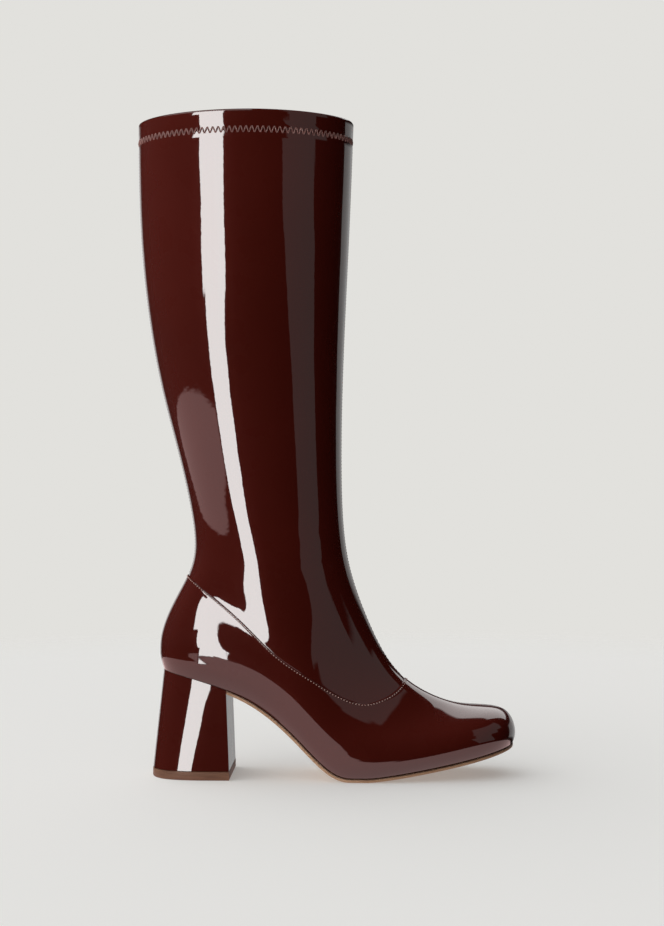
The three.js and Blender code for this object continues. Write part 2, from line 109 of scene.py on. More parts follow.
# Levels of the leg: up, drop of the front, middle, length, width, sag, bow and fullness.
LEG = [
    (1.0, 0, 0.1521, 1.0, 1.0, 0, 0, (1.0, 1.0, 1.0, 1.0, 1.0, 0.99, 0.98, 0.97)),
    (0.7936, 0.0029, 0.1494, 0.888, 0.91, 0, 0, (1.0, 1.0, 1.0, 1.0, 1.0, 0.98, 0.97, 0.96)),
    (0.6351, 0.0127, 0.156, 0.684, 0.67, 0, 0, (1.01, 1.01, 1.01, 1.0, 0.99, 0.97, 0.95, 0.94)),
    (0.5059, 0.0312, 0.171, 0.438, 0.4, 0, 0, (1.02, 1.02, 1.01, 1.0, 0.985, 0.965, 0.94, 0.93)),
    (0.4063, 0.0556, 0.1903, 0.216, 0.17, 0, 0,
     (1.02, 1.02, 1.02, 1.005, 0.99, 0.965, 0.935, 0.925)),
    (0.3056, 0.0683, 0.2132, 0.071, 0.02, 0.06, 0.1,
     (1.02, 1.03, 1.03, 1.015, 0.985, 0.95, 0.915, 0.9)),
    (0.2186, 0.0654, 0.2346, 0.147, 0, 0.2, 0.3,
     (1.03, 1.03, 1.0, 1.0, 0.965, 0.915, 0.87, 0.855)),
]

# Levels of the foot: back, front, up at the back, rise at the front, sag, bow and fullness.
FOOT = [
    (-0.0129, 0.5102, 1.0, 1.445, 0.4, 0.5, (0.98, 0.97, 0.87, 0.865, 0.83, 0.77, 0.72, 0.705)),
    (-0.038, 0.576, 0.815, 1.012, 0.6, 0.7, (1.08, 1.03, 0.87, 0.86, 0.83, 0.75, 0.695, 0.68)),
    (-0.0611, 0.6557, 0.646, 0.735, 0.78, 0.85,
     (1.2, 1.14, 0.96, 0.86, 0.85, 0.775, 0.72, 0.715)),
    (-0.079, 0.757, 0.482, 0.53, 0.9, 0.95, (1.32, 1.23, 1.03, 0.875, 0.895, 0.85, 0.835, 0.85)),
    (-0.0893, 0.838, 0.331, 0.436, 0.97, 1, (1.43, 1.29, 1.05, 0.88, 0.95, 0.975, 1.07, 1.14)),
    (-0.0915, 0.9005, 0.208, 0.307, 1, 1, (1.48, 1.3, 1.035, 0.86, 0.985, 1.14, 1.42, 1.57)),
    (-0.0885, 0.9205, 0.1, 0.0986, 1, 1, (1.465, 1.27, 0.98, 0.81, 0.965, 1.15, 1.45, 1.72)),
    (-0.0805, 0.9131, 0, 0, 1, 1, (1.37, 1.16, 0.86, 0.715, 0.875, 1.012, 1.29, 1.57)),
]

# The panel seam in side view: x along the foot, height as a share of its back end's.
SEAM = [
    (-0.05, 1.035),
    (-0.0115, 1.0),
    (0.05, 0.92),
    (0.1094, 0.84),
    (0.1738, 0.741),
    (0.2348, 0.637),
    (0.3311, 0.52),
    (0.4135, 0.428),
    (0.4574, 0.392),
    (0.5016, 0.381),
    (0.538, 0.396),
    (0.5758, 0.428),
    (0.6008, 0.47),
    (0.62, 0.52),
]

# Seams and creases of the upper, in millimetres
GROOVE_DEPTH, GROOVE_WIDTH = 0.4, 0.45
RIDGE_HEIGHT, RIDGE_AT, RIDGE_WIDTH = 0.18, 1.3, 0.8
SEAM_REACH = 0.12  # sine of the widest turn from the middle that the groove touches
SEAM_FADE = 4
PINCH, PINCH_WIDTH = 0.45, 2.0

# The side wall of the foot swells out just above the sole: how much, and how far up.
SIDE_SWELL, SIDE_UP = 0.4, 4.5
SWELL_FROM, SWELL_FULL = 0.38, 0.53  # shares of the way from the back of the loop to its front

# Distance below the panel seam and distance outwards, across the lapped edge of the foot panel.
LAP = [
    (2.0, 0.0),
    (-1.2, 0.0),
    (-0.5, -0.05),
    (-0.1, -0.12),
    (0.0, 0.25),
    (0.12, 0.48),
    (0.35, 0.59),
    (0.7, 0.6),
    (1.1, 0.57),
    (1.5, 0.5),
    (1.9, 0.57),
    (2.5, 0.6),
]

# Soft folds: side (-1 outer, 1 inner), x, z, angle, half length, half width, height.
CREASES = [
    (-1, 92, 150, 8, 16, 5, -0.25),
    (-1, 88, 166, 4, 18, 6, 0.18),
    (-1, 22, 152, -12, 14, 6, -0.22),
    (1, 90, 148, 6, 16, 5, -0.25),
    (1, 24, 156, -10, 14, 6, -0.22),
]

# How finely the visible forms are divided
FOLD_STEPS = 9
HEM_STEPS = 14
SHAFT_STEPS = 120
PANEL_STEPS = 64
EVEN_COLUMNS = 232
CLOSE_COLUMNS = [0.005, 0.011, 0.018, 0.026, 0.037, 0.05, 0.07]
LINING_COLUMNS = 120
LINING_STEPS = 70
SOLE_STEPS = 170
SEAT_STEPS = 40
HEEL_STEPS = 14
TRACE = 720
SEARCH_STEPS = 40  # halvings in the search for the panel seam along a column
CLOSE_REACH = 1.2  # the even columns start this many times further out than the close ones end
LEVEL_RINGS_END = HEM_DEPTH * 2  # the rings stay level down to this depth

TURNED_EDGE = [1.4, 4, 8, 12, 16]  # depths down the inside of the turned collar edge
LINING_TOP = [(15, -2.7), (17, -1.8), (20, -1.4)]  # depth and offset under the turned edge
LINING_TUCK = 0.3

# Down from the top of the sole's edge, and inset, in millimetres.
SOLE_PROFILE = [
    (0.0, 0.25),
    (0.08, 0.05),
    (0.45, 0.0),
    (0.55, 0.06),
    (0.68, 0.0),
    (1.3, 0.0),
    (1.75, 0.05),
    (2.1, 0.25),
    (2.32, 0.5),
    (SOLE_THICKNESS, 0.8),
]
# The top rings of the sole's edge are coloured dark: painted shade where the upper meets the sole.
SOLE_SHADE_RINGS = 3
SOLE_BASE_FACING = -0.5  # faces whose normal points further down than this are the sole's base

# Up from the footbed, and inset, in millimetres.
INSOLE_PROFILE = [(0.05, 2.7), (1.4, 2.5), (1.8, 2.7), (INSOLE_THICKNESS, 3.3)]

# Height over the ground, and inset, in millimetres.
TOP_PIECE_PROFILE = [
    (TOP_PIECE_THICKNESS, 0.1),
    (5.85, -0.15),
    (0.7, -0.15),
    (0.3, 0.0),
    (0.1, 0.2),
    (0.0, 0.5),
]
HEEL_ROUND, HEEL_ROUND_STEPS = 0.9, 3

# Edges flatter than these angles, in degrees, are shaded smoothly.
SOFT_ANGLE = 60
SOLE_ANGLE = 50
EDGE_ANGLE = 35

# Stitches: share along, thickness and lift, both over the thread's radius.
STITCH_SHAPE = [(0.0, 0.5, -1.2), (0.12, 0.9, -0.2), (0.5, 1.0, 0.35), (0.88, 0.9, -0.2),
                (1.0, 0.5, -1.2)]
STITCH_SIDES = 6
HEM_THREAD, HEM_THREAD_OUT = 0.5, -0.25
ZIGZAG_PITCH, ZIGZAG_HEIGHT = 1.9, 5.2
PANEL_THREAD = 0.36
PANEL_ROW_DOWN, PANEL_PITCH, PANEL_STITCH = 1.2, 2.2, 0.38
SEAM_THREAD, SEAM_ROW_AT = 0.2, 1.4
SEAM_ROW_START, SEAM_ROW_END = 6, 3
SEAM_PITCH, SEAM_STITCH = 2.2, 1.3

# Noises of the materials: scale to a metre, detail, and a stretch where it isn't even
PATENT_TONE_NOISE = (14, 4)
PATENT_HAZE_NOISE = (45, 5)
PATENT_WAVE_NOISE = (32, 1.5, (1, 1, 0.45))
PATENT_RIPPLE_NOISE = (230, 1)
PATENT_PEEL_NOISE = (900, 1)
FIBRE_NOISE = (240, 5, (0.25, 0.25, 3))
TEXTILE_TONE_NOISE = (60, 4)
TEXTILE_RIB_NOISE = (1400, 2, (1, 1, 0.6))
THREAD_TONE_NOISE = (500, 3)
THREAD_TWIST_NOISE = (2500, 1)

# Roughness of cut leather and height of its grain, in millimetres
SOLE_FINISH = (0.45, 0.04)
SOLE_SHADE_FINISH = (0.5, 0.04)
SOLE_BASE_FINISH = (0.55, 0.06)
TOP_PIECE_FINISH = (0.5, 0.05)

TEXTILE_ROUGHNESS, TEXTILE_SHEEN, TEXTILE_RIB = 0.85, 0.25, 0.12
THREAD_ROUGHNESS, THREAD_TWIST = 0.42, 0.05

# Colours, as pairs of place on the ramp and linear colour
PATENT_TONES = [(0.3, (0.08, 0.0088, 0.0052)), (0.7, (0.092, 0.0103, 0.0064))]
PATENT_HAZE = (0.22, 0.34)
PATENT_SPECULAR, COAT_ROUGHNESS, COAT_IOR = 0.03, 0.012, 1.75
PATENT_WAVE, PATENT_RIPPLE, PATENT_PEEL = 0.25, 0.012, 0.0015
SOLE_TONES = [(0.3, (0.4, 0.22, 0.12)), (0.7, (0.52, 0.31, 0.18))]
# The dark line along the top of the sole's edge is painted shade where the upper meets the sole.
SOLE_SHADE_TONES = [(0.3, (0.07, 0.035, 0.02)), (0.7, (0.12, 0.06, 0.035))]
SOLE_BASE_TONES = [(0.3, (0.36, 0.21, 0.12)), (0.7, (0.46, 0.29, 0.17))]
TOP_PIECE_TONES = [(0.35, (0.13, 0.05, 0.022)), (0.65, (0.19, 0.082, 0.038))]
LINING_TONES = [(0.3, (0.03, 0.022, 0.02)), (0.7, (0.045, 0.033, 0.03))]
INSOLE_TONES = [(0.3, (0.36, 0.24, 0.145)), (0.7, (0.43, 0.29, 0.18))]
HEM_THREAD_TONES = [(0.3, (0.16, 0.06, 0.05)), (0.7, (0.34, 0.17, 0.15))]
# The panel stitches' thread is maroon, coloured light pink here: a painted highlight on the thread.
PANEL_THREAD_HIGHLIGHT_TONES = [(0.3, (0.5, 0.3, 0.25)), (0.7, (0.7, 0.5, 0.44))]
SEAM_THREAD_TONES = [(0.3, (0.02, 0.005, 0.004)), (0.7, (0.04, 0.012, 0.01))]

# Camera, from the photograph
PHOTO_HEIGHT = 926
SENSOR = 36
CAMERA_FOCUS = 1750  # focal length in pixels of the photograph
CAMERA_DISTANCE = 1225
CAMERA_HEIGHT = 217.3
CAMERA_AIM = 97.2
CAMERA_YAW = -1.4
VIEW_END = 100  # metres

# Soft boxes that the gloss shows: name, azimuth from and to, lean of both with elevation,
# elevation from and to, softness of sides and ends, strength. Angles are in degrees.
SOFT_BOXES = [
    ("key strip", -35.5, -17, -0.12, -3, 13.3, 0.6, 0.8, 9.2),
    ("key strip, low left", -32.2, -21.5, 0.27, -12.9, -3, 0.6, 0.8, 9.2),
    ("key strip, low right", -24, -16.2, 0.27, -11.8, -3, 0.6, 0.6, 9.2),
    ("counter light", -43, -18.5, 0, 13.3, 30, 1.5, 0.8, 9.2),
    ("dim panel", 37, 66, -0.6, -12, 9, 0.6, 1, 0.23),
    ("instep panel", 37, 63, 0, 8, 15, 0.6, 2, 0.23),
    ("instep panel, middle", 37, 78, 0, 13, 26, 3, 3, 0.23),
    ("instep panel, top", 34, 92, 0, 22, 48, 3, 3, 0.23),
    ("rim right", 121, 166, 0, -12, 9, 1.5, 4, 0.55),
    ("rim left", -172, -147, 0, -12, 9, 1.5, 4, 0.7),
    ("breast light", 171, 179, 0, -24, 12, 1, 2, 0.4),
    ("vamp light", 127, 179, 0, 27, 62, 2.5, 4, 1.9),
    ("edge light", -90, 4, 0, 34, 70, 2, 4, 1.5),
]
# The ground that the gloss shows, in the same columns.
GROUND_BOXES = [
    ("ground at the heel", -190, -38, 0, -95, -12, 2, 0.6, 0.76),
    ("ground below the strip", -38, -24, 0, -95, -14, 2, 0.6, 0.76),
    ("ground at the side", -24, -4, 0, -95, -12.8, 2, 0.6, 0.76),
    ("ground at the ball", -4, 9, 0, -95, -16.5, 3, 2, 0.76),
    ("ground at the toe", -4, 180, 0, -95, -20, 4, 0.6, 0.76),
]
# Light that falls on the surfaces: even, from the left, and from above and below.
FILL, FROM_LEFT, FROM_ABOVE = 0.4, 1.15, 0.5
LIGHT_COLOUR = (1.0, 0.99, 0.98)
GROUND_COLOUR = (1.35, 0.92, 0.9)
BACKDROP_COLOUR = (0.76, 0.752, 0.723)
FLOOR_COLOUR = (0.72, 0.715, 0.7)
GLOW_COLOUR = (0.74, 0.755, 0.745)
FLOOR_GLOW = 0.29
FLOOR_MIDDLE = 95
FLOOR_RADII = (300, 600, 900, 1100)
FLOOR_FADE = 750
FLOOR_SIDES = 96
FLOOR_ROUGHNESS = 0.9
LIGHT_MAP_WIDTH = 1024
NUDGE = 1e-3  # step for slopes taken by difference


def mix(a, b, t):
    return a + (b - a) * t


class Spline:
    """A natural cubic spline through rows of values. A value is a number, or a point per column."""

    def __init__(self, xs, ys):
        self.xs = np.array(xs, float)
        self.ys = np.array(ys, float)
        step = np.diff(self.xs)
        matrix = np.eye(len(self.xs))
        turn = np.zeros_like(self.ys)
        for i in range(1, len(self.xs) - 1):
            matrix[i, i - 1 : i + 2] = step[i - 1], 2 * (step[i - 1] + step[i]), step[i]
            ahead = (self.ys[i + 1] - self.ys[i]) / step[i]
            behind = (self.ys[i] - self.ys[i - 1]) / step[i - 1]
            turn[i] = 6 * (ahead - behind)
        flat = np.linalg.solve(matrix, turn.reshape(len(self.xs), -1))
        self.bend = flat.reshape(self.ys.shape)

    def __call__(self, x):
        x = np.asarray(x, float)
        i = np.clip(np.searchsorted(self.xs, x) - 1, 0, len(self.xs) - 2)
        h = self.xs[i + 1] - self.xs[i]
        b = (x - self.xs[i]) / h
        a = 1 - b
        low, high = (a**3 - a) * h * h / 6, (b**3 - b) * h * h / 6
        if self.ys.ndim == 1:
            return (
                a * self.ys[i] + b * self.ys[i + 1]
                + low * self.bend[i] + high * self.bend[i + 1]
            )
        column = np.arange(self.ys.shape[1])
        a, b, low, high = (w[..., None] for w in (a, b, low, high))
        return (
            a * self.ys[i, column] + b * self.ys[i + 1, column]
            + low * self.bend[i, column] + high * self.bend[i + 1, column]
        )


bed_line = Spline(
    [x * FOOT_LENGTH for x, heel, toe in FOOTBED],
    [SOLE_TOP + heel * (HEEL_HEIGHT - SOLE_TOP) + toe * TOE_SPRING for x, heel, toe in FOOTBED],
)
foot_curve = Spline([x * FOOT_LENGTH for x, _ in FOOT_CURVE], [y * BALL_WIDTH for _, y in FOOT_CURVE])
seam_height = Spline(
    [x * FOOT_LENGTH for x, _ in SEAM], [z * (HEEL_HEIGHT + COUNTER_HEIGHT) for _, z in SEAM]
)
BED_BACK = FOOTBED[0][0] * FOOT_LENGTH
BED_FRONT = FOOTBED[-1][0] * FOOT_LENGTH


def footbed(x):
    return np.maximum(bed_line(x), SOLE_TOP)


def bed_at(x, above):
    """The height of a surface that runs a true distance above the footbed."""
    slope = (footbed(x + NUDGE) - footbed(x - NUDGE)) / (2 * NUDGE)
    return footbed(x) + above * np.hypot(1, slope)


def dip(x):
    inside = np.clip(x, BED_BACK, BED_FRONT)
    share = (inside - BED_BACK) / (BED_FRONT - BED_BACK)
    return footbed(inside) - mix(footbed(BED_BACK), footbed(BED_FRONT), share)


def leg_level(row, is_collar):
    up, drop, middle, long, wide, sag, bow, full = row
    length = mix(ANKLE_LENGTH, COLLAR_LENGTH, long)
    back = middle * FOOT_LENGTH - length / 2
    height = HEEL_HEIGHT + up * SHAFT_HEIGHT
    front_height = height - drop * SHAFT_HEIGHT + is_collar * COLLAR_RISE
    half = [share * mix(ANKLE_WIDTH, COLLAR_WIDTH, wide) / 2 for share in full]
    ends = (back, height), (back + length, front_height)
    return *ends, sag, bow, is_collar * COLLAR_CROWN, half


def foot_level(row):
    back, front, up, rise, sag, bow, full = row
    front *= FOOT_LENGTH
    front_height = footbed(min(front, BED_FRONT)) + rise * INSTEP_HEIGHT
    half = [share * BALL_WIDTH / 2 for share in full]
    ends = (back * FOOT_LENGTH, HEEL_HEIGHT + up * COUNTER_HEIGHT), (front, front_height)
    return *ends, sag, bow, 0, half


STATION_ANGLES = [math.acos(1 - 2 * share) for share in STATIONS]
LEVELS = [leg_level(row, i == 0) for i, row in enumerate(LEG)] + [foot_level(row) for row in FOOT]
FEATHER = LEVELS[-1]


def level_points(level, angle, side):
    """Points of one level. The angle runs from 0 at the back to pi at the front."""
    back, front, sag, bow, crown, half = level
    share = (1 - np.cos(angle)) / 2
    x = mix(back[0], front[0], share)
    straight = mix(back[1], front[1], share)
    hang = dip(x) - mix(dip(back[0]), dip(front[0]), share)
    y = bow * foot_curve(x) + side * np.sin(angle) * Spline(STATION_ANGLES, half)(angle)
    return np.stack([x, y, straight + sag * hang + crown * np.sin(angle) ** 2], axis=-1)


DEPTHS = [0.0]
for above, below in zip(LEVELS, LEVELS[1:]):
    DEPTHS.append(DEPTHS[-1] + (math.dist(above[0], below[0]) + math.dist(above[1], below[1])) / 2)
FEATHER_DEPTH = DEPTHS[-1]
bow_at = Spline(DEPTHS, [level[3] for level in LEVELS])


class Surface:
    """The outside of the upper along columns. A column's turn runs from 0 at the back, along the
    outer side, to pi at the front, and back along the inner side."""

    def __init__(self, turns):
        self.turns = np.asarray(turns, float)
        self.side = np.where(self.turns <= math.pi, -1.0, 1.0)
        self.angle = np.where(self.turns <= math.pi, self.turns, 2 * math.pi - self.turns)
        self.before, self.here, self.after = (self.columns(s) for s in (-NUDGE, 0, NUDGE))
        low = np.full(len(self.turns), DEPTHS[len(LEG) - 2])
        high = np.full(len(self.turns), DEPTHS[len(LEVELS) - 4])
        for _ in range(SEARCH_STEPS):
            middle = (low + high) / 2
            p = self.here(middle)
            above_seam = p[:, 2] > seam_height(p[:, 0])
            low = np.where(above_seam, middle, low)
            high = np.where(above_seam, high, middle)
        self.seam = (low + high) / 2

    def columns(self, shift):
        angle = self.angle + shift
        return Spline(DEPTHS, [level_points(level, angle, self.side) for level in LEVELS])

    def normals(self, depth):
        across = self.after(depth) - self.before(depth)
        down = self.here(depth + NUDGE) - self.here(depth - NUDGE)
        normal = np.cross(across, down) * self.side[:, None]
        return normal / np.linalg.norm(normal, axis=-1, keepdims=True)

    def points(self, depth, out):
        """Points at each column's depth, moved outwards. Both may hold a row per ring."""
        depth = np.broadcast_to(depth, np.broadcast_shapes(np.shape(depth), self.turns.shape))
        out = np.broadcast_to(out, depth.shape)
        return self.here(depth) + self.normals(depth) * out[..., None]


# Solid forms

def make_object(name, vertices, faces, body="root"):
    """Makes a mesh object from points in millimetres and lists of corner numbers."""
    mesh = bpy.data.meshes.new(name)
    mesh.from_pydata((np.asarray(vertices) * MM).tolist(), [], faces)
    mesh.update()
    made = bpy.data.objects.new(name, mesh)
    bpy.context.scene.collection.objects.link(made)
    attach(made, body)
    return made


def shade_smooth(made):
    for polygon in made.data.polygons:
        polygon.use_smooth = True


def smooth(made, degrees):
    """Shades smoothly across edges flatter than an angle."""
    shade_smooth(made)
    made.data.set_sharp_from_angle(angle=math.radians(degrees))


def band_faces(rings, count):
    """Quads between closed rings of points that run the same way round."""
    return [
        (r * count + i, r * count + (i + 1) % count, (r + 1) * count + (i + 1) % count,
         (r + 1) * count + i)
        for r in range(rings - 1)
        for i in range(count)
    ]


def cap_faces(ring, count, tip):
    """A ladder of faces across one ring. Its first rung is a point where the ring starts at a tip."""
    end = count if tip else count - 1
    faces = []
    for i in range((end + 1) // 2):
        corners = [i, i + 1, end - i - 1, end - i]
        corners = list(dict.fromkeys(k % count for k in corners))
        if len(corners) > 2:
            faces.append([ring * count + k for k in corners])
    return faces


def outward(made):
    """Turns all faces outwards."""
    form = bmesh.new()
    form.from_mesh(made.data)
    bmesh.ops.recalc_face_normals(form, faces=form.faces)
    form.to_mesh(made.data)
    form.free()


def capped(name, rings, tip):
    """A closed object through rings of points, filled at both ends."""
    count = len(rings[0])
    faces = band_faces(len(rings), count)
    faces += [face[::-1] for face in cap_faces(0, count, tip)]
    faces += cap_faces(len(rings) - 1, count, tip)
    made = make_object(name, np.concatenate(rings), faces)
    outward(made)
    return made


def bevelled(made, width, segments):
    """Rounds the sharp edges of an object."""
    bevel = made.modifiers.new("edge", "BEVEL")
    bevel.width = width * MM
    bevel.segments = segments
    bevel.limit_method = "ANGLE"
    bevel.angle_limit = math.radians(EDGE_ANGLE)
    bevel.harden_normals = True


# The upper

def seam_groove(points, depth, turns, seam):
    """The sewn seams down the front and the back of the shaft: a groove between two soft ridges."""
    middle = bow_at(depth) * foot_curve(points[..., 0])
    across = np.abs(points[..., 1] - middle)
    near_middle = np.abs(np.sin(turns)) < SEAM_REACH
    groove = -GROOVE_DEPTH * np.exp(-((across / GROOVE_WIDTH) ** 2))
    ridge = RIDGE_HEIGHT * np.exp(-(((across - RIDGE_AT) / RIDGE_WIDTH) ** 2))
    fade = np.clip((seam - depth) / SEAM_FADE, 0, 1)
    return (groove + ridge) * fade * near_middle


def hem_pinch(depth):
    """The zigzag row pulls the collar in a little."""
    return -PINCH * np.exp(-(((depth - HEM_DEPTH) / PINCH_WIDTH) ** 2))


def creases(points, side):
    """Soft folds, each a trough (below 0) or a ridge along a line in side view."""
    total = np.zeros(points.shape[:-1])
    for face, x, z, angle, length, width, height in CREASES:
        tilt = math.radians(angle)
        dx, dz = points[..., 0] - x, points[..., 2] - z
        along = dx * math.cos(tilt) + dz * math.sin(tilt)
        across = dz * math.cos(tilt) - dx * math.sin(tilt)
        shape = np.exp(-((along / length) ** 2) - (across / width) ** 2)
        total += height * shape * (side == face)
    return total


def side_swell(depth, angle):
    """The side wall of the foot is full just above the sole, and turns in sharply under it."""
    up = np.clip(FEATHER_DEPTH - depth, 0, None) / SIDE_UP
    share = (1 - np.cos(angle)) / 2
    fore = np.clip((share - SWELL_FROM) / (SWELL_FULL - SWELL_FROM), 0, 1)
    return SIDE_SWELL * up * np.exp(1 - up) * np.sin(angle) ** 2 * fore


def upper_rows(surface):
    """Depths and offsets of the rings down the outside, from the top of the fold to the sole."""
    seam = surface.seam
    rows = []
    for turn in np.linspace(math.pi, 0, FOLD_STEPS):
        rows.append((FOLD_RADIUS * (1 - math.sin(turn)) + 0 * seam,
                     FOLD_RADIUS * (math.cos(turn) - 1)))
    for depth in np.linspace(FOLD_RADIUS, LEVEL_RINGS_END, HEM_STEPS)[1:]:
        rows.append((depth + 0 * seam, 0))
    for share in np.linspace(0, 1, SHAFT_STEPS)[1:]:
        rows.append((mix(LEVEL_RINGS_END, seam - LAP[0][0], share), 0))
    for below, out in LAP[1:]:
        rows.append((seam + below, out))
    start = seam + LAP[-1][0]
    for share in np.linspace(0, 1, PANEL_STEPS)[1:]:
        rows.append((mix(start, FEATHER_DEPTH, share), PANEL_STEP))
    depth = np.array([d for d, _ in rows])
    out = np.array([np.broadcast_to(o, seam.shape) for _, o in rows])
    return depth, out


def column_turns():
    """Turns of the columns: even all round, and closer beside the front and back seams."""
    even = np.linspace(0, 2 * math.pi, EVEN_COLUMNS, endpoint=False)
    close = [centre + side * step
             for centre in (0, math.pi) for side in (-1, 1) for step in CLOSE_COLUMNS]
    reach = max(CLOSE_COLUMNS) * CLOSE_REACH
    far = [t for t in even if abs(math.sin(t)) > math.sin(reach)]
    return np.sort(np.mod([0, math.pi, *close, *far], 2 * math.pi))


def make_upper():
    surface = Surface(column_turns())
    depth, out = upper_rows(surface)
    bare = surface.points(depth, 0)
    outside = np.arange(len(depth))[:, None] >= FOLD_STEPS - 1
    relief = seam_groove(bare, depth, surface.turns, surface.seam) + creases(bare, surface.side)
    relief = relief + side_swell(depth, surface.angle)
    relief = (relief + hem_pinch(depth)) * outside
    points = surface.points(depth, out + relief)
    below = points[..., 2] < footbed(points[..., 0])
    points[..., 2] = np.where(below & (depth > surface.seam), footbed(points[..., 0]), points[..., 2])
    inside = surface.points(np.array([[d] for d in TURNED_EDGE]) + 0 * surface.seam, -HEM_WALL)
    rings = np.concatenate([inside[::-1], points])
    count = len(surface.turns)
    made = make_object("boot_upper", rings.reshape(-1, 3), band_faces(len(rings), count))
    outward(made)
    smooth(made, SOFT_ANGLE)
    return made


def make_lining():
    """The inside of the upper, from under the turned edge of the collar down to the insole."""
    surface = Surface(np.linspace(0, 2 * math.pi, LINING_COLUMNS, endpoint=False))
    rows = list(LINING_TOP)
    for depth in np.linspace(LINING_TOP[-1][0], FEATHER_DEPTH + LINING_TUCK, LINING_STEPS)[1:]:
        rows.append((depth, -UPPER_WALL))
    depth = np.array([[d] for d, _ in rows])
    out = np.array([[o] for _, o in rows])
    points = surface.points(depth, out)
    made = make_object("boot_lining", points.reshape(-1, 3),
                       band_faces(len(points), len(surface.turns)))
    shade_smooth(made)
    made.data.flip_normals()
    return made


# Sole and heel

def edge_points(side, start, end, steps, out):
    """Points along one side of the feather line, between two shares of its length."""
    angle = np.linspace(math.acos(1 - 2 * start), math.acos(1 - 2 * end), steps + 1)
    slope = level_points(FEATHER, angle + NUDGE, side) - level_points(FEATHER, angle - NUDGE, side)
    slope = slope[:, :2] / np.linalg.norm(slope[:, :2], axis=1, keepdims=True)
    points = level_points(FEATHER, angle, side)
    points[:, 0] -= side * slope[:, 1] * out
    points[:, 1] += side * slope[:, 0] * out
    return points


def share_at(x):
    return (x - FEATHER[0][0]) / (FEATHER[1][0] - FEATHER[0][0])


def on_bed(points, above):
    height = np.maximum(bed_at(points[:, 0], above), 0)
    return np.column_stack([points[:, 0], points[:, 1], height])


def make_outsole():
    """The fore part of the outsole, which shows, and its narrower seat inside the heel's rim."""
    split = share_at(BREAST_X + SOLE_STEP)

    def fore_loop(out):
        return np.concatenate([edge_points(-1, split, 1, SOLE_STEPS, out),
                               edge_points(1, 1, split, SOLE_STEPS, out)[1:]])

    def seat_loop(out):
        return np.concatenate([edge_points(-1, 0, split, SEAT_STEPS, out),
                               edge_points(1, split, 0, SEAT_STEPS, out)[:-1]])

    full = PANEL_STEP + SOLE_EDGE
    fore_rings = [on_bed(fore_loop(full - inset), -GAP - down) for down, inset in SOLE_PROFILE]
    fore = capped("boot_outsole", fore_rings, tip=False)
    out = PANEL_STEP - HEEL_RIM - GAP
    seat_rings = [on_bed(seat_loop(out), -GAP), on_bed(seat_loop(out), -GAP - SOLE_THICKNESS)]
    seat = capped("boot_outsole_seat", seat_rings, tip=True)
    for made in (fore, seat):
        smooth(made, SOLE_ANGLE)
    return fore, seat


def share_out_sole(sole):
    """Gives the sole's faces their materials: 0 the edge, 1 the dark line along its top, which is
    painted shade where the upper meets the sole, 2 the base.
    """
    line_faces = (2 * SOLE_STEPS + 1) * SOLE_SHADE_RINGS
    for polygon in sole.data.polygons:
        if polygon.index < line_faces:
            polygon.material_index = 1
        elif polygon.normal.z < SOLE_BASE_FACING:
            polygon.material_index = 2


def make_insole():
    """The insole, with a softly rounded upper edge."""
    def loop(out):
        return np.concatenate([edge_points(-1, 0, 1, SOLE_STEPS, out),
                               edge_points(1, 1, 0, SOLE_STEPS, out)[1:-1]])

    rings = [on_bed(loop(-inset), up) for up, inset in INSOLE_PROFILE]
    made = capped("boot_insole", rings, tip=True)
    smooth(made, SOFT_ANGLE)
    return made


def heel_loop(drop, inset=0.0):
    """The heel's outline in plan: the feather line behind the breast, spread towards the base."""
    share = share_at(BREAST_X)
    loop = np.concatenate([edge_points(-1, share, 0, SEAT_STEPS, PANEL_STEP),
                           edge_points(1, 0, share, SEAT_STEPS, PANEL_STEP)[1:]])
    seat_back = FEATHER[0][0] - PANEL_STEP
    back = mix(seat_back, -HEEL_BASE_LENGTH / 2, drop) + inset
    breast = mix(BREAST_X, HEEL_BASE_LENGTH / 2, drop) - inset
    gone = np.maximum(0, BREAST_X - loop[:, 0]) / (BREAST_X - seat_back)
    left = np.maximum(0, 1 - gone ** HEEL_SIDE_POWER) ** (1 / HEEL_BACK_POWER)
    base_side = np.sign(loop[:, 1]) * (HEEL_BASE_WIDTH / 2 - inset) * left
    x = breast - gone * (breast - back)
    height = mix(bed_at(loop[:, 0], -GAP), TOP_PIECE_THICKNESS + GAP, drop)
    return np.column_stack([x, mix(loop[:, 1], base_side, drop), height])


def make_heel():
    rings = [heel_loop(drop) for drop in np.linspace(0, 1, HEEL_STEPS)]
    made = capped("boot_heel_block", rings, tip=False)
    smooth(made, EDGE_ANGLE)
    bevelled(made, HEEL_ROUND, HEEL_ROUND_STEPS)
    return made


def make_top_piece():
    base = heel_loop(1)
    rings = [np.column_stack([heel_loop(1, inset)[:, :2], np.full(len(base), height)])
             for height, inset in TOP_PIECE_PROFILE]
    made = capped("boot_top_piece", rings, tip=False)
    smooth(made, EDGE_ANGLE)
    return made


# Stitches

def sew(name, stitches, radius):
    """One object of many stitches. A stitch is a start, an end and an outward normal each; its
    middle stands proud and its ends dip into the surface."""
    start, end, normal = (np.array(part) for part in zip(*stitches))
    along = end - start
    across = np.cross(normal, along)
    across /= np.linalg.norm(across, axis=1, keepdims=True)
    rings = []
    for share, thick, lift in STITCH_SHAPE:
        centre = start + along * share + normal * (lift * radius)
        for k in range(STITCH_SIDES):
            turn = 2 * math.pi * k / STITCH_SIDES
            offset = normal * math.cos(turn) + across * math.sin(turn)
            rings.append(centre + offset * (thick * radius))
    points = np.stack(rings, axis=1)
    each = len(STITCH_SHAPE) * STITCH_SIDES
    pattern = band_faces(len(STITCH_SHAPE), STITCH_SIDES)
    faces = [tuple(k + s * each for k in face) for s in range(len(stitches)) for face in pattern]
    made = make_object(name, points.reshape(-1, 3), faces)
    shade_smooth(made)
    return made


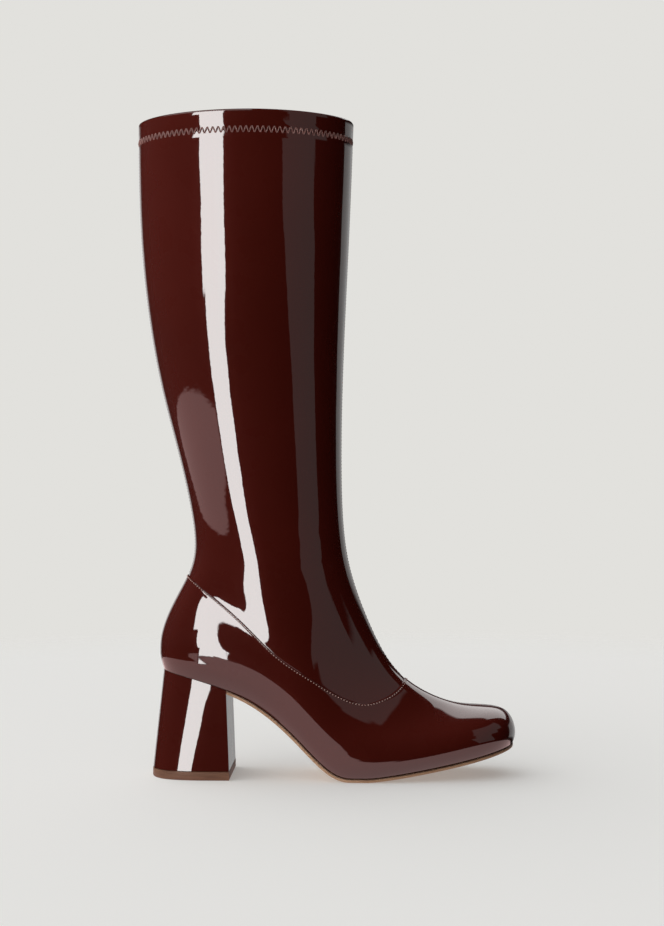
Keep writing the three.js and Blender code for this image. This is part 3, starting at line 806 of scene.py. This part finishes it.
def even_steps(points, pitch):
    """Positions along a closed line of points, at even distances, as fractional indices."""
    closed = np.concatenate([points, points[:1]])
    run = np.concatenate([[0], np.cumsum(np.linalg.norm(np.diff(closed, axis=0), axis=1))])
    count = round(run[-1] / pitch)
    wanted = np.arange(count) * run[-1] / count
    return np.interp(wanted, run, np.arange(len(closed)))


def stitch_line(depth_of, out, pitch, length, zigzag=0.0):
    """Stitches round the upper along a line of depth, straight or in a zigzag."""
    turns = np.linspace(0, 2 * math.pi, TRACE, endpoint=False)
    trace = Surface(turns)
    line = trace.points(depth_of(trace), out)
    marks = even_steps(line, pitch) * 2 * math.pi / TRACE
    step = np.diff(np.append(marks, 2 * math.pi))
    first = Surface(np.mod(marks, 2 * math.pi))
    last = Surface(np.mod(marks + step * length, 2 * math.pi))
    up = np.where(np.arange(len(marks)) % 2 == 0, zigzag, -zigzag) / 2
    a = first.points(depth_of(first) + up, out)
    b = last.points(depth_of(last) - up, out)
    n = first.normals(depth_of(first))
    return list(zip(a, b, n))


def shaft_seam_stitches(turn, offset):
    """A row beside a seam of the shaft, from the hem down to the foot panel."""
    trace = Surface([turn])
    end = float(trace.seam[0]) - SEAM_ROW_END
    stitches = []
    for depth in np.arange(HEM_DEPTH + SEAM_ROW_START, end, SEAM_PITCH):
        a, b = (trace.points(np.array([[d]]), 0.0)[0, 0] for d in (depth, depth + SEAM_STITCH))
        n = trace.normals(np.array([[depth]]))[0, 0]
        shift = np.array([0, offset, 0])
        stitches.append((a + shift, b + shift, n))
    return stitches


# Materials

def node(tree, kind, **settings):
    made = tree.nodes.new(kind)
    for name, value in settings.items():
        setattr(made, name, value)
    return made


def new_material(name):
    made = bpy.data.materials.new(name)
    made.use_nodes = True
    shader = made.node_tree.nodes["Principled BSDF"]
    return made, made.node_tree, shader


def object_noise(tree, scale, detail, stretch=(1, 1, 1)):
    """Noise in the object's own metres."""
    place = node(tree, "ShaderNodeTexCoord")
    mapping = node(tree, "ShaderNodeMapping")
    mapping.inputs["Scale"].default_value = stretch
    noise = node(tree, "ShaderNodeTexNoise")
    noise.inputs["Scale"].default_value = scale
    noise.inputs["Detail"].default_value = detail
    tree.links.new(place.outputs["Object"], mapping.inputs["Vector"])
    tree.links.new(mapping.outputs["Vector"], noise.inputs["Vector"])
    return noise.outputs["Fac"]


def ramp(tree, source, stops):
    """A colour ramp over a value, from two pairs of place and colour."""
    made = node(tree, "ShaderNodeValToRGB")
    for element, (place, colour) in zip(made.color_ramp.elements, stops):
        element.position = place
        element.color = (*colour, 1)
    tree.links.new(source, made.inputs["Fac"])
    return made.outputs["Color"]


def bump(tree, source, distance, before=None):
    """A bump of a height in millimetres, on top of an earlier one."""
    made = node(tree, "ShaderNodeBump")
    made.inputs["Distance"].default_value = distance * MM
    tree.links.new(source, made.inputs["Height"])
    if before:
        tree.links.new(before, made.inputs["Normal"])
    return made.outputs["Normal"]


def patent_leather():
    made, tree, shader = new_material("patent_leather")
    tone = ramp(tree, object_noise(tree, *PATENT_TONE_NOISE), PATENT_TONES)
    tree.links.new(tone, shader.inputs["Base Color"])
    haze = node(tree, "ShaderNodeMapRange")
    haze.inputs["To Min"].default_value, haze.inputs["To Max"].default_value = PATENT_HAZE
    tree.links.new(object_noise(tree, *PATENT_HAZE_NOISE), haze.inputs["Value"])
    tree.links.new(haze.outputs["Result"], shader.inputs["Roughness"])
    wave = bump(tree, object_noise(tree, *PATENT_WAVE_NOISE), PATENT_WAVE)
    ripple = bump(tree, object_noise(tree, *PATENT_RIPPLE_NOISE), PATENT_RIPPLE, before=wave)
    peel = bump(tree, object_noise(tree, *PATENT_PEEL_NOISE), PATENT_PEEL, before=ripple)
    tree.links.new(peel, shader.inputs["Normal"])
    tree.links.new(peel, shader.inputs["Coat Normal"])
    shader.inputs["Specular IOR Level"].default_value = PATENT_SPECULAR
    shader.inputs["Coat Weight"].default_value = 1.0
    shader.inputs["Coat Roughness"].default_value = COAT_ROUGHNESS
    shader.inputs["Coat IOR"].default_value = COAT_IOR
    return made


def leather_edge(name, tones, roughness, grain):
    """Cut leather or a stacked edge: fibres along the edge, with darker and lighter lines."""
    made, tree, shader = new_material(name)
    fibre = object_noise(tree, *FIBRE_NOISE)
    tree.links.new(ramp(tree, fibre, tones), shader.inputs["Base Color"])
    shader.inputs["Roughness"].default_value = roughness
    tree.links.new(bump(tree, fibre, grain), shader.inputs["Normal"])
    return made


def fine_textile(name, tones):
    """A knitted lining: a fine rib in the object's own metres, with a soft sheen."""
    made, tree, shader = new_material(name)
    tone = ramp(tree, object_noise(tree, *TEXTILE_TONE_NOISE), tones)
    tree.links.new(tone, shader.inputs["Base Color"])
    shader.inputs["Roughness"].default_value = TEXTILE_ROUGHNESS
    shader.inputs["Sheen Weight"].default_value = TEXTILE_SHEEN
    rib = object_noise(tree, *TEXTILE_RIB_NOISE)
    tree.links.new(bump(tree, rib, TEXTILE_RIB), shader.inputs["Normal"])
    return made


def sewing_thread(name, tones):
    made, tree, shader = new_material(name)
    tone = ramp(tree, object_noise(tree, *THREAD_TONE_NOISE), tones)
    tree.links.new(tone, shader.inputs["Base Color"])
    shader.inputs["Roughness"].default_value = THREAD_ROUGHNESS
    twist = object_noise(tree, *THREAD_TWIST_NOISE)
    tree.links.new(bump(tree, twist, THREAD_TWIST), shader.inputs["Normal"])
    return made


def give(made, *materials):
    made.data.materials.clear()
    for material in materials:
        made.data.materials.append(material)


# Dressing the boot

patent = patent_leather()

upper = make_upper()
give(upper, patent)
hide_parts("upper")

lining = make_lining()
give(lining, fine_textile("lining", LINING_TONES))
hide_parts("upper")

sole, seat = make_outsole()
sole_edge = leather_edge("sole_edge", SOLE_TONES, *SOLE_FINISH)
# The sole's dark top line is painted shade where the upper meets the sole.
sole_shade_line = leather_edge("sole_top_painted_shade", SOLE_SHADE_TONES, *SOLE_SHADE_FINISH)
sole_base = leather_edge("sole_base", SOLE_BASE_TONES, *SOLE_BASE_FINISH)
give(sole, sole_edge, sole_shade_line, sole_base)
share_out_sole(sole)
give(seat, sole_base)
for made in (sole, seat):
    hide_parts("outsole")

insole = make_insole()
give(insole, fine_textile("insole_cover", INSOLE_TONES))
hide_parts("insole")

heel = make_heel()
give(heel, patent)
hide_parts("heel_block")

top_piece = make_top_piece()
give(top_piece, leather_edge("top_piece", TOP_PIECE_TONES, *TOP_PIECE_FINISH))
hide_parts("top_piece")

hem_row = sew(
    "boot_hem_zigzag",
    stitch_line(lambda s: HEM_DEPTH + 0 * s.seam, HEM_THREAD_OUT, ZIGZAG_PITCH, 1.0, ZIGZAG_HEIGHT),
    HEM_THREAD,
)
panel_row = sew(
    "boot_panel_stitches",
    stitch_line(lambda s: s.seam + PANEL_ROW_DOWN, PANEL_STEP, PANEL_PITCH, PANEL_STITCH),
    PANEL_THREAD,
)
seam_rows = sew(
    "boot_seam_stitches",
    [s for turn in (0.0, math.pi) for offset in (-SEAM_ROW_AT, SEAM_ROW_AT)
     for s in shaft_seam_stitches(turn, offset)],
    SEAM_THREAD,
)
give(hem_row, sewing_thread("hem_thread", HEM_THREAD_TONES))
# The panel thread's light pink colour is a painted highlight on a maroon thread.
give(panel_row, sewing_thread("panel_thread_painted_highlight", PANEL_THREAD_HIGHLIGHT_TONES))
give(seam_rows, sewing_thread("seam_thread", SEAM_THREAD_TONES))


# Studio

def studio_light():
    """A pale backdrop for the camera, and soft boxes and flags for light and reflections.
    Azimuth is 0 on the outer side and rises towards the toe; both angles are in degrees."""
    world = bpy.data.worlds.new("studio")
    bpy.context.scene.world = world
    world.use_nodes = True
    tree = world.node_tree
    tree.nodes.clear()
    direction = node(tree, "ShaderNodeTexCoord").outputs["Generated"]
    split = node(tree, "ShaderNodeSeparateXYZ")
    tree.links.new(direction, split.inputs["Vector"])

    def math_node(operation, *values):
        made = node(tree, "ShaderNodeMath", operation=operation)
        for socket, value in zip(made.inputs, values):
            if isinstance(value, (int, float)):
                socket.default_value = value
            else:
                tree.links.new(value, socket)
        return made.outputs["Value"]

    toward = math_node("MULTIPLY", split.outputs["Y"], -1.0)
    azimuth = math_node("ARCTAN2", split.outputs["X"], toward)
    elevation = math_node("ARCSINE", split.outputs["Z"])

    def window(value, low, high, soft):
        """1 between two angles, falling to 0 over a soft edge outside them."""
        low, high, soft = (math.radians(v) for v in (low, high, soft))
        rise = node(tree, "ShaderNodeMapRange", interpolation_type="SMOOTHSTEP")
        fall = node(tree, "ShaderNodeMapRange", interpolation_type="SMOOTHSTEP")
        for made, zero, one in ((rise, low - soft, low), (fall, high + soft, high)):
            made.inputs["From Min"].default_value = zero
            made.inputs["From Max"].default_value = one
            tree.links.new(value, made.inputs["Value"])
        return math_node("MULTIPLY", rise.outputs["Result"], fall.outputs["Result"])

    def background(colour, strength=1.0):
        made = node(tree, "ShaderNodeBackground")
        made.inputs["Color"].default_value = (*colour, 1)
        if isinstance(strength, float):
            made.inputs["Strength"].default_value = strength
        else:
            tree.links.new(strength, made.inputs["Strength"])
        return made.outputs["Background"]

    def choose(share, first, second):
        made = node(tree, "ShaderNodeMixShader")
        for socket, source in zip(made.inputs, (share, first, second)):
            tree.links.new(source, socket)
        return made.outputs["Shader"]

    def lit(boxes):
        shown = 0.0
        for _, left, right, lean, low, high, soft_side, soft_end, strength in boxes:
            leant = math_node("MULTIPLY_ADD", elevation, -lean, azimuth)
            box = math_node("MULTIPLY", window(leant, left, right, soft_side),
                            window(elevation, low, high, soft_end))
            shown = math_node("MAXIMUM", math_node("MULTIPLY", box, float(strength)), shown)
        return shown

    level = math_node("MULTIPLY_ADD", split.outputs["X"], -FROM_LEFT, FILL)
    level = math_node("MULTIPLY_ADD", math_node("ABSOLUTE", split.outputs["Z"]), FROM_ABOVE, level)
    fallen = math_node("MAXIMUM", level, 0.0)
    path = node(tree, "ShaderNodeLightPath")
    both = node(tree, "ShaderNodeAddShader")
    tree.links.new(background(LIGHT_COLOUR, lit(SOFT_BOXES)), both.inputs[0])
    tree.links.new(background(GROUND_COLOUR, lit(GROUND_BOXES)), both.inputs[1])
    light = choose(path.outputs["Is Glossy Ray"], background(LIGHT_COLOUR, fallen),
                   both.outputs["Shader"])
    output = node(tree, "ShaderNodeOutputWorld")
    tree.links.new(choose(path.outputs["Is Camera Ray"], light, background(BACKDROP_COLOUR)),
                   output.inputs["Surface"])
    world.cycles.sampling_method = "MANUAL"
    world.cycles.sample_map_resolution = LIGHT_MAP_WIDTH


def floor_material():
    """A matt pale surface with a little light of its own, see-through towards its rim."""
    made, tree, shader = new_material("floor")
    shader.inputs["Base Color"].default_value = (*FLOOR_COLOUR, 1)
    shader.inputs["Roughness"].default_value = FLOOR_ROUGHNESS
    shader.inputs["Specular IOR Level"].default_value = 0.0
    shader.inputs["Emission Color"].default_value = (*GLOW_COLOUR, 1)
    shader.inputs["Emission Strength"].default_value = FLOOR_GLOW
    place = node(tree, "ShaderNodeTexCoord")
    distance = node(tree, "ShaderNodeVectorMath", operation="DISTANCE")
    distance.inputs[1].default_value = (FLOOR_MIDDLE * MM, 0, 0)
    tree.links.new(place.outputs["Object"], distance.inputs[0])
    fade = node(tree, "ShaderNodeMapRange", interpolation_type="SMOOTHSTEP")
    fade.inputs["From Min"].default_value = FLOOR_FADE * MM
    fade.inputs["From Max"].default_value = FLOOR_RADII[-1] * MM
    fade.inputs["To Min"].default_value = 1
    fade.inputs["To Max"].default_value = 0
    tree.links.new(distance.outputs["Value"], fade.inputs["Value"])
    tree.links.new(fade.outputs["Result"], shader.inputs["Alpha"])
    return made


def make_floor():
    """A pale round floor that fades out into the backdrop."""
    turns = np.linspace(0, 2 * math.pi, FLOOR_SIDES, endpoint=False)
    rings = [np.column_stack([r * np.cos(turns), r * np.sin(turns), 0 * turns])
             for r in FLOOR_RADII]
    points = np.concatenate([[[0, 0, 0]], *rings])
    points[:, 0] += FLOOR_MIDDLE
    faces = [(0, 1 + i, 1 + (i + 1) % FLOOR_SIDES) for i in range(FLOOR_SIDES)]
    faces += [tuple(k + 1 for k in face) for face in band_faces(len(FLOOR_RADII), FLOOR_SIDES)]
    mesh = bpy.data.meshes.new("floor")
    mesh.from_pydata((points * MM).tolist(), [], faces)
    floor = bpy.data.objects.new("floor", mesh)
    bpy.context.scene.collection.objects.link(floor)
    floor.data.materials.append(floor_material())
    floor.visible_glossy = False
    floor.visible_diffuse = False


def make_camera():
    """The photograph's viewpoint: level, on the outer side, turned a little about the boot."""
    data = bpy.data.cameras.new("camera")
    camera = bpy.data.objects.new("camera", data)
    bpy.context.scene.collection.objects.link(camera)
    yaw = math.radians(CAMERA_YAW)
    x = CAMERA_AIM * math.cos(yaw) - CAMERA_DISTANCE * math.sin(yaw)
    y = -CAMERA_AIM * math.sin(yaw) - CAMERA_DISTANCE * math.cos(yaw)
    camera.location = Vector((x, y, CAMERA_HEIGHT)) * MM
    camera.rotation_euler = (math.pi / 2, 0, -yaw)
    data.sensor_fit = "AUTO"
    data.sensor_width = SENSOR
    data.lens = SENSOR * CAMERA_FOCUS / PHOTO_HEIGHT
    data.clip_end = VIEW_END
    bpy.context.scene.camera = camera


studio_light()
make_floor()
make_camera()
bpy.context.scene.view_settings.view_transform = "Standard"
